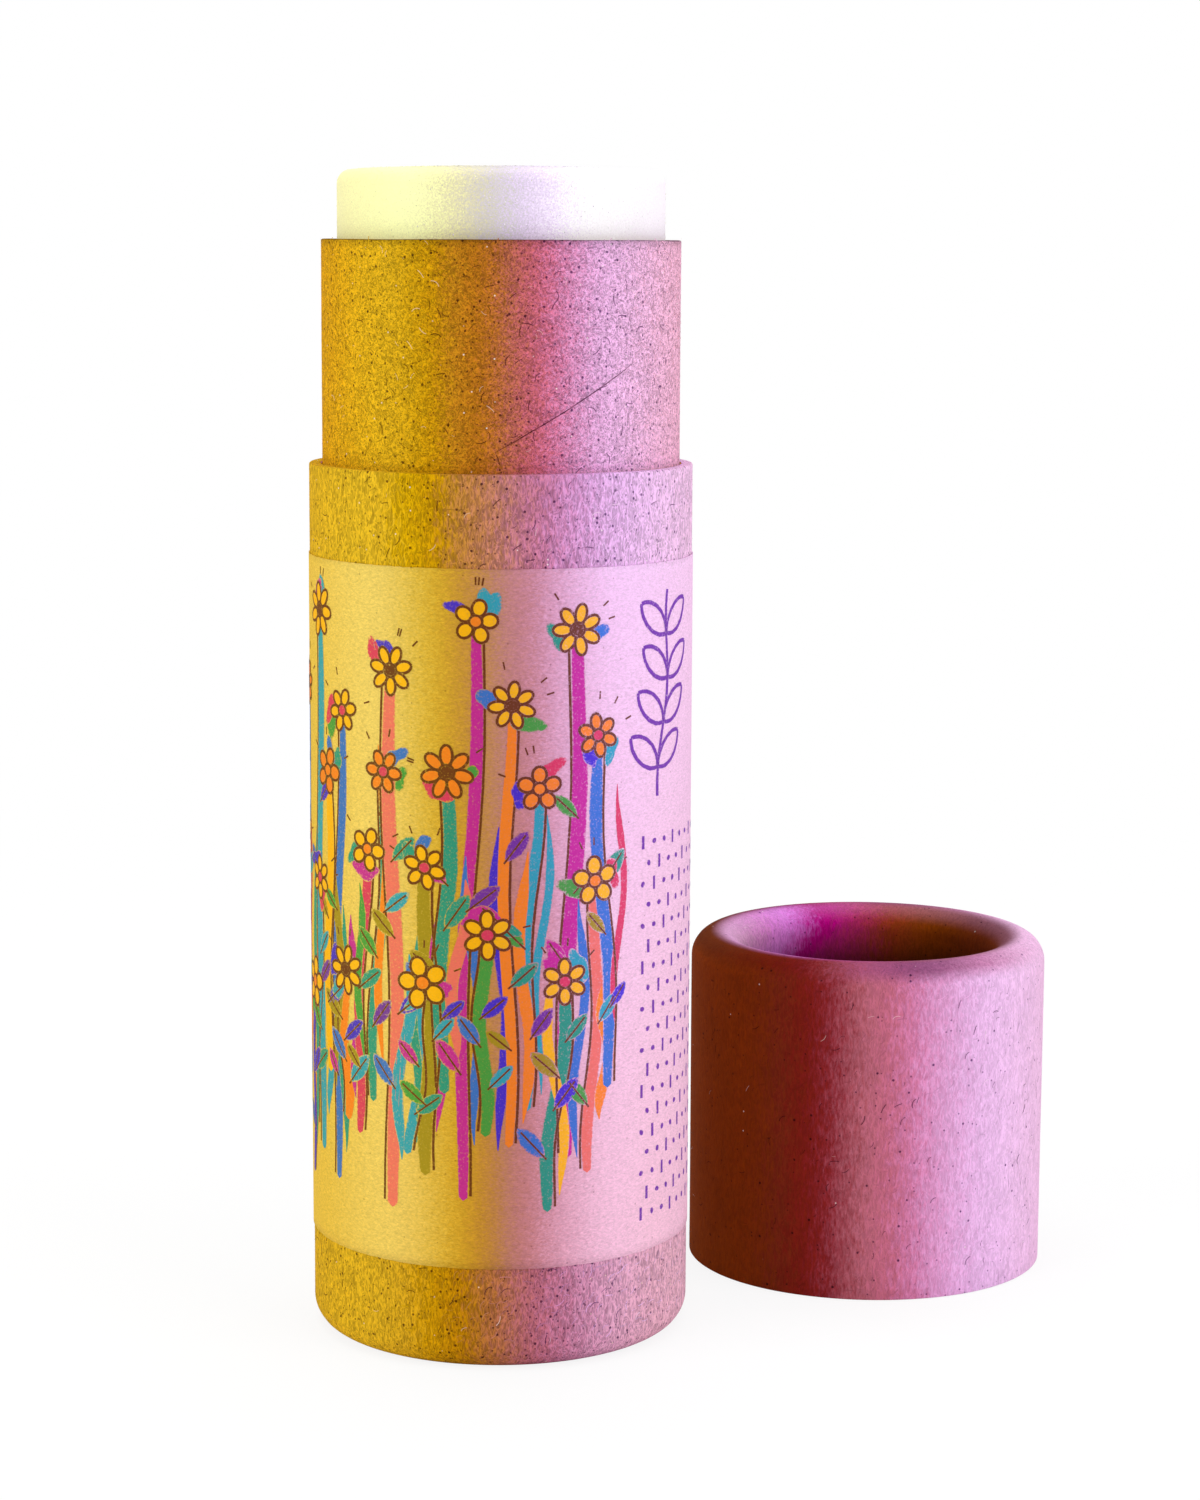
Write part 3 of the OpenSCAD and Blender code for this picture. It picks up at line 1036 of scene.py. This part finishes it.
def side_panel(art, settings):
    """The quiet part beside the meadow: a sprig in purple line, and rows of dots and dashes below it."""
    left = settings.print_end + 3.2 * MM
    root = (left + 2.0 * MM, LABEL_HIGH.z - 21 * MM)
    top = (left + 3.4 * MM, LABEL_HIGH.z - 2.5 * MM)
    stem = stem_points(art, root, top, 0.8 * MM)
    art.stroke(stem, 0.2 * MM, "purple")
    for place in stem[2:13:3]:
        for side in (-1, 1):
            turn = math.pi / 2 + side * 0.9
            outline = oval(4.6 * MM, 2.2 * MM, turn, point=0.4)
            art.stroke(ring_points(polar(place, 2.4 * MM, turn), outline), 0.2 * MM, "purple")
    row, number = LABEL_HIGH.z - 25 * MM, 0
    while row > LABEL_LOW.z + 3 * MM:
        x = left + (number % 2) * PANEL_SPACING / 2
        while x < left + 24 * MM:
            if (round(x / PANEL_SPACING) + number) % 3:
                dot = oval(0.62 * MM, 0.5 * MM, art.random.uniform(0, math.pi), count=8)
                art.patch((x, row), dot, "purple", layer=1)
            else:
                art.stroke([(x, row - 0.6 * MM), (x, row + 0.6 * MM)], 0.17 * MM, "purple")
            x += PANEL_SPACING
        row -= 1.9 * MM
        number += 1


def outward(made, centre):
    """Turns each face of a thin skin so that it looks away from an upright axis."""
    built = bmesh.new()
    built.from_mesh(made.data)
    for face in built.faces:
        middle = face.calc_center_median()
        if face.normal.x * (middle.x - centre[0]) + face.normal.y * (middle.y - centre[1]) < 0:
            face.normal_flip()
    built.to_mesh(made.data)
    built.free()


def joined(name, parts):
    """One object from several, with their shared attributes kept."""
    with bpy.context.temp_override(
        active_object=parts[0], object=parts[0], selected_objects=parts, selected_editable_objects=parts,
    ):
        bpy.ops.object.join()
    parts[0].name = name
    return parts[0]


def wall_sheet(name, centre, radius, low, high, step=1.0 * MM):
    """A plain cylinder wall, for fibres to be thrown on."""
    count = round(2 * math.pi * radius / step)
    rows = max(1, round((high - low) / step))
    vertices, faces = [], []
    for row in range(rows + 1):
        z = low + (high - low) * row / rows
        for i in range(count):
            turn = 2 * math.pi * i / count
            vertices.append((centre[0] + radius * math.cos(turn), centre[1] + radius * math.sin(turn), z))
    for row in range(rows):
        for i in range(count):
            j = (i + 1) % count
            faces.append((row * count + i, row * count + j, (row + 1) * count + j, (row + 1) * count + i))
    made = mesh_object(name, vertices, faces)
    outward(made, centre)
    return made


def throw_fibres(name, centre, radius, reach, tones, slot, settings, share=1.0, upright=0.0, seed=1):
    """Loose fibres over one stretch of wall, from the lower to the upper height of its reach."""
    sheet = wall_sheet(name, centre, radius, *reach)
    tree = fibre_tree(fibre_material(f"{name}_material", tones, centre[0]))
    values = {
        "Density": settings.fibre_density * share, "Length": settings.fibre_length,
        "Width": settings.fibre_width, "Upright": upright, "Seed": seed, "Shade Seed": seed + 6,
    }
    run_tree(sheet, tree, values)
    outward(sheet, centre)
    settle(sheet, "tube", slot)


# Settings, as a user would change them

class PaperSettings(bpy.types.PropertyGroup):
    edge_ease: bpy.props.FloatProperty(
        name="Edge Rounding", description="Rounding of a cut paper edge", default=0.15 * MM, unit="LENGTH")
    ripple: bpy.props.FloatProperty(
        name="Ripple", description="How uneven the wound wall is", default=0.05 * MM, unit="LENGTH")
    ragged: bpy.props.FloatProperty(
        name="Raggedness", description="How uneven a cut paper edge is", default=0.12 * MM, unit="LENGTH")
    fibre_density: bpy.props.FloatProperty(
        name="Fibre Density", description="Loose fibres on each square metre", default=1.5e6)
    fibre_length: bpy.props.FloatProperty(
        name="Fibre Length", description="Length of a middling fibre", default=0.75 * MM, unit="LENGTH")
    fibre_width: bpy.props.FloatProperty(
        name="Fibre Width", description="Width of a fibre", default=0.055 * MM, unit="LENGTH")
    seam_turn: bpy.props.FloatProperty(
        name="Seam Start", description="Where the spiral seam starts, from the front",
        default=math.radians(-2), subtype="ANGLE")
    seam_reach: bpy.props.FloatProperty(
        name="Seam Reach", description="How far the open seam runs round the neck",
        default=math.radians(50), subtype="ANGLE")


class LabelSettings(bpy.types.PropertyGroup):
    print_seed: bpy.props.IntProperty(name="Print Seed", description="Seed of the drawn meadow", default=4)
    print_start: bpy.props.FloatProperty(
        name="Print Start", description="Left end of the meadow, along the arc", default=-51 * MM,
        unit="LENGTH")
    print_end: bpy.props.FloatProperty(
        name="Print End", description="Right end of the meadow, along the arc", default=11.5 * MM,
        unit="LENGTH")


class BalmSettings(bpy.types.PropertyGroup):
    edge_round: bpy.props.FloatProperty(
        name="Edge Rounding", description="Rounding of the balm's top edge", default=1.3 * MM, unit="LENGTH")
    flake_density: bpy.props.FloatProperty(
        name="Flake Density", description="Mica flakes on each square metre", default=4.0e6)
    flake_size: bpy.props.FloatProperty(
        name="Flake Size", description="Size of a middling flake", default=0.15 * MM, unit="LENGTH")


class StageSettings(bpy.types.PropertyGroup):
    side_power: bpy.props.FloatProperty(
        name="Side Power", description="Power of each of the two side lamps, in watts", default=4.2)
    top_power: bpy.props.FloatProperty(
        name="Top Power", description="Power of the top lamp, in watts", default=6.5)
    lens: bpy.props.FloatProperty(name="Lens", description="Focal length on a 36 mm frame", default=83.36)
    distance: bpy.props.FloatProperty(
        name="Distance", description="From the tube's axis to the camera", default=317.5 * MM, unit="LENGTH")
    side: bpy.props.FloatProperty(
        name="Side", description="How far the camera stands to the right of the tube", default=9.15 * MM,
        unit="LENGTH")
    height: bpy.props.FloatProperty(
        name="Height", description="Height of the camera", default=100.7 * MM, unit="LENGTH")
    pitch: bpy.props.FloatProperty(
        name="Pitch", description="How far the camera looks down", default=math.radians(8.4), subtype="ANGLE")
    roll: bpy.props.FloatProperty(
        name="Roll", description="Small tilt of the camera", default=math.radians(0.284), subtype="ANGLE")


# Half the floor's width, in metres
FLOOR_HALF = 3.0


# Operators, one for each piece or group of like pieces

class MakeBase(bpy.types.Operator):
    """Outer tube with its rolled bottom edge"""
    bl_idname = "paper_tube.make_base"
    bl_label = "Base Tube"

    def execute(self, context):
        paper = context.scene.tube_paper
        section = rolled_section(BASE_HIGH.z, FOOT_FLAT, paper.edge_ease)
        shape = paper_shape(paper, TUBE_R, BASE_HIGH.z, 3)
        made = revolve("base_paper", TUBE_AXIS, section, PAPER_FACETS, shape)
        made.data.materials.append(base_material())
        settle(made, "tube", "kraft_tube", "base_tube")
        for name, low, high, seed in (
            ("base_fibres_low", ROLL_R, LABEL_LOW.z, 31), ("base_fibres_high", LABEL_HIGH.z, BASE_HIGH.z, 37),
        ):
            reach = (low, high - paper.edge_ease)
            throw_fibres(name, TUBE_AXIS, TUBE_R, reach, BASE_TONES, "kraft_tube", paper, 0.8, 0.45, seed)
        return {"FINISHED"}


class MakeNeck(bpy.types.Operator):
    """Inner tube with its spiral seam"""
    bl_idname = "paper_tube.make_neck"
    bl_label = "Neck Tube"

    def execute(self, context):
        paper = context.scene.tube_paper
        inner = (NECK_R - WALL, NECK_LOW.z)
        outer = (NECK_R, NECK_LOW.z)
        top = strip_top(inner[0], NECK_R, NECK_HIGH.z, paper.edge_ease)
        section = [outer] + line(outer, top[0]) + top + line(top[-1], inner) + [inner]
        section += line(inner, outer, 0.4 * MM)
        shape = paper_shape(paper, NECK_R, NECK_HIGH.z, 15)
        made = revolve("neck_paper", TUBE_AXIS, section, PAPER_FACETS, shape)
        made.data.materials.append(neck_material())
        settle(made, "tube", "kraft_neck", "neck_tube")
        reach = (BASE_HIGH.z, NECK_HIGH.z - paper.edge_ease)
        throw_fibres("neck_fibres", TUBE_AXIS, NECK_R, reach, NECK_TONES, "kraft_neck", paper, 1.3, 0.0, 41)
        self.make_seam(paper)
        return {"FINISHED"}

    def make_seam(self, paper):
        """The dark line where two turns of the wound paper meet. It rises as it runs round."""
        art = Art(8)
        start = (NECK_R * paper.seam_turn, BASE_HIGH.z + 1.5 * MM)
        reach = NECK_R * paper.seam_reach
        rise = 0.57
        points = []
        for i in range(41):
            share = i / 40
            wander = 0.04 * MM * noise.noise(Vector((share * 9, 0.5, 0)))
            points.append((start[0] + reach * share, start[1] + reach * rise * share + wander))
        art.stroke(points, 0.045 * MM, "brown", taper=0.9)
        lines, fills = art.bake()
        bpy.data.objects.remove(fills)
        seam = run_tree(lines, ribbon_tree(seam_material()), {"Radius": NECK_R, "Step": 0.3 * MM})
        seam.name = "neck_seam"
        outward(seam, TUBE_AXIS)
        settle(seam, "tube", "kraft_neck")


class MakeCap(bpy.types.Operator):
    """Cap with its rolled end up"""
    bl_idname = "paper_tube.make_cap"
    bl_label = "Cap"

    def execute(self, context):
        paper = context.scene.tube_paper
        upright = paper_shape(paper, TUBE_R, CAP_HIGH.z, 27, ragged=0.3)

        def shape(r, z, turn):
            own_r, own_z = upright(r, z, turn)
            return own_r, CAP_HIGH.z - own_z

        section = rolled_section(CAP_HIGH.z, 0.0, paper.edge_ease)
        made = revolve("cap_paper", CAP_AXIS, section, PAPER_FACETS, shape)
        made.data.materials.append(cap_material())
        settle(made, "tube", "kraft_cap", "cap_tube")
        reach = (paper.fibre_length, CAP_HIGH.z - ROLL_R)
        throw_fibres("cap_fibres", CAP_AXIS, TUBE_R, reach, CAP_TONES, "kraft_cap", paper, 0.35, 0.5, 47)
        board = board_material("cap_disc_board", (120, 82, 60), (84, 54, 38))
        frame["nodes"]["cap_disc"].material_slots[0].material = board
        return {"FINISHED"}


class MakeLabel(bpy.types.Operator):
    """Paper label with its crayon print"""
    bl_idname = "paper_tube.make_label"
    bl_label = "Label"

    def execute(self, context):
        self.make_sheet()
        lines, fills = meadow(context.scene.tube_label).bake()
        crayon = crayon_material()
        radius = LABEL_R - PRINT_ROOM
        run_tree(lines, ribbon_tree(crayon), {"Radius": radius, "Step": PRINT_STEP})
        run_tree(fills, patch_tree(crayon), {"Radius": radius})
        made = joined("label_print", [lines, fills])
        outward(made, TUBE_AXIS)
        made.data.polygons.foreach_set("use_smooth", [True] * len(made.data.polygons))
        settle(made, "tube", "label_paper")
        return {"FINISHED"}

    def make_sheet(self):
        """The sheet itself: a thin wall with uneven edges, open at the back."""
        low_r, high_r = TUBE_R + 0.02 * MM, LABEL_R - 0.06 * MM
        gap = LABEL_GAP / LABEL_R
        columns, rows = 240, 64
        vertices, faces = [], []
        for radius in (low_r, high_r):
            for row in range(rows + 1):
                for column in range(columns + 1):
                    turn = math.pi / 2 + gap / 2 + (2 * math.pi - gap) * column / columns
                    z = LABEL_LOW.z + (LABEL_HIGH.z - LABEL_LOW.z) * row / rows
                    if row in (0, rows):
                        rag = 0.09 * MM * noise.noise(Vector((turn * 30, row, 1.5)))
                        z += abs(rag) if row == 0 else -abs(rag)
                    vertices.append((TUBE_X + radius * math.cos(turn), TUBE_Y + radius * math.sin(turn), z))
        width = columns + 1
        back = width * (rows + 1)
        for row in range(rows):
            for column in range(columns):
                a = row * width + column
                faces.append((back + a, back + a + 1, back + a + 1 + width, back + a + width))
                faces.append((a, a + width, a + 1 + width, a + 1))
        rim = [(0, column) for column in range(columns + 1)]
        rim += [(row, columns) for row in range(1, rows + 1)]
        rim += [(rows, column) for column in reversed(range(columns))]
        rim += [(row, 0) for row in range(rows - 1, 0, -1)]
        order = [row * width + column for row, column in rim]
        for a, b in zip(order, order[1:] + order[:1]):
            faces.append((a, b, back + b, back + a))
        made = mesh_object("label_sheet", vertices, faces, label_material())
        settle(made, "tube", "label_paper", "label")


class MakeBalm(bpy.types.Operator):
    """Balm stick with its mica, and the pusher under it"""
    bl_idname = "paper_tube.make_balm"
    bl_label = "Balm"

    def execute(self, context):
        balm = context.scene.tube_balm
        rim = BALM_R - balm.edge_round
        foot = (BALM_R, BALM_LOW.z)
        corner = arc(rim, BALM_HIGH.z - BALM_DOME - balm.edge_round, balm.edge_round, 0, 90, 10)
        skin = [foot] + line(foot, corner[0]) + corner
        for ring in range(1, 13):
            share = 1 - ring / 12
            skin.append((rim * share, BALM_HIGH.z - BALM_DOME * share ** 2))
        underside = [(0.0, BALM_LOW.z)] + line((0.0, BALM_LOW.z), foot)

        def shape(r, z, turn):
            """A balm that was poured: its side sinks a little, and its top dips round the edge."""
            sink = uneven(z, turn, 51, 0.06 * MM)
            dip = uneven(r * 4, turn, 57, 0.12 * MM) if z > BALM_HIGH.z - 2 * MM else 0.0
            return max(0.0, r + sink * (r > rim)), z + dip * min(1.0, r / rim)

        made = revolve("balm_body", TUBE_AXIS, underside + skin, BALM_FACETS, shape, closed=False)
        made.data.materials.append(balm_material())
        settle(made, "pusher", "pearl_balm", "balm_stick")
        flakes = revolve("balm_flakes", TUBE_AXIS, skin, BALM_FACETS, shape, closed=False)
        values = {"Density": balm.flake_density, "Size": balm.flake_size, "Tilt": 0.4, "Seed": 61}
        run_tree(flakes, flake_tree(flake_material()), values)
        settle(flakes, "pusher", "pearl_balm")
        board = board_material("pusher_board", (176, 136, 104), (134, 98, 72))
        frame["nodes"]["push_disc"].material_slots[0].material = board
        return {"FINISHED"}


class MakeStage(bpy.types.Operator):
    """White floor, soft lamps and the camera"""
    bl_idname = "paper_tube.make_stage"
    bl_label = "Stage"

    def execute(self, context):
        scene = context.scene
        stage = scene.tube_stage
        corners = [(x * FLOOR_HALF, y * FLOOR_HALF, 0) for x, y in ((-1, -1), (1, -1), (1, 1), (-1, 1))]
        floor = mesh_object("floor", corners, [(0, 1, 2, 3)], stage_material())
        floor.location.z = -0.02 * MM
        self.light_world(scene)
        middle = Vector((0, 0, 50 * MM))
        for name, place, size, power in (
            ("left_softbox", (-0.75, -0.55, 0.45), 0.7, stage.side_power),
            ("right_softbox", (0.75, -0.55, 0.45), 0.7, stage.side_power),
            ("top_softbox", (0.0, 0.1, 1.0), 0.9, stage.top_power),
        ):
            lamp = bpy.data.lights.new(name, "AREA")
            lamp.size = size
            lamp.energy = power
            holder = bpy.data.objects.new(name, lamp)
            holder.location = place
            holder.rotation_euler = (middle - Vector(place)).to_track_quat("-Z", "Y").to_euler()
            scene.collection.objects.link(holder)
        self.place_camera(scene, stage)
        scene.view_settings.view_transform = "Standard"
        return {"FINISHED"}

    def light_world(self, scene):
        """Even white light all round, and pure white where the camera or a reflection sees past the floor."""
        world = bpy.data.worlds.new("studio")
        scene.world = world
        world.use_nodes = True
        world.node_tree.nodes.clear()
        make = NodeMaker(world.node_tree)
        strength = make.math("ADD", make.math("MULTIPLY", seen_directly(make), 0.58), 0.42)
        glow = make.add("ShaderNodeBackground", Color=(1, 1, 1, 1), Strength=strength)
        make.add("ShaderNodeOutputWorld", Surface=glow.outputs[0])

    def place_camera(self, scene, stage):
        """The photograph's view: a level distance in front of the tube, looking a little down."""
        ahead = Vector((0, math.cos(stage.pitch), -math.sin(stage.pitch)))
        level = Vector((1, 0, 0))
        up = level.cross(ahead)
        right = math.cos(stage.roll) * level + math.sin(stage.roll) * up
        top = -math.sin(stage.roll) * level + math.cos(stage.roll) * up
        lens = bpy.data.cameras.new("camera")
        lens.lens = stage.lens
        lens.sensor_width = 36
        lens.clip_start = 0.01
        holder = bpy.data.objects.new("camera", lens)
        place = Vector((TUBE_X + stage.side, TUBE_Y - stage.distance, stage.height))
        holder.matrix_world = Matrix.Translation(place) @ Matrix((right, top, -ahead)).transposed().to_4x4()
        scene.collection.objects.link(holder)
        scene.camera = holder


class TubePanel(bpy.types.Panel):
    """Lists the tube's operators and settings"""
    bl_idname = "VIEW3D_PT_paper_tube"
    bl_label = "Paper Tube"
    bl_space_type = "VIEW_3D"
    bl_region_type = "UI"
    bl_category = "Paper Tube"

    def draw(self, context):
        for group, operators in GROUPS:
            box = self.layout.box()
            for operator in operators:
                box.operator(operator.bl_idname)
            settings = getattr(context.scene, group)
            for key in settings.__annotations__:
                box.prop(settings, key)


GROUPS = (
    ("tube_paper", (MakeBase, MakeNeck, MakeCap)),
    ("tube_label", (MakeLabel,)),
    ("tube_balm", (MakeBalm,)),
    ("tube_stage", (MakeStage,)),
)
SETTINGS = {
    "tube_paper": PaperSettings, "tube_label": LabelSettings, "tube_balm": BalmSettings,
    "tube_stage": StageSettings,
}
CLASSES = (*SETTINGS.values(), *(maker for _, makers in GROUPS for maker in makers), TubePanel)


def register():
    for made in CLASSES:
        bpy.utils.register_class(made)
    for name, group in SETTINGS.items():
        setattr(bpy.types.Scene, name, bpy.props.PointerProperty(type=group))


def unregister():
    for name in SETTINGS:
        delattr(bpy.types.Scene, name)
    for made in reversed(CLASSES):
        bpy.utils.unregister_class(made)


def main():
    register()
    bpy.ops.paper_tube.make_stage()
    bpy.ops.paper_tube.make_base()
    bpy.ops.paper_tube.make_neck()
    bpy.ops.paper_tube.make_label()
    bpy.ops.paper_tube.make_balm()
    bpy.ops.paper_tube.make_cap()


if __name__ == "__main__":
    main()
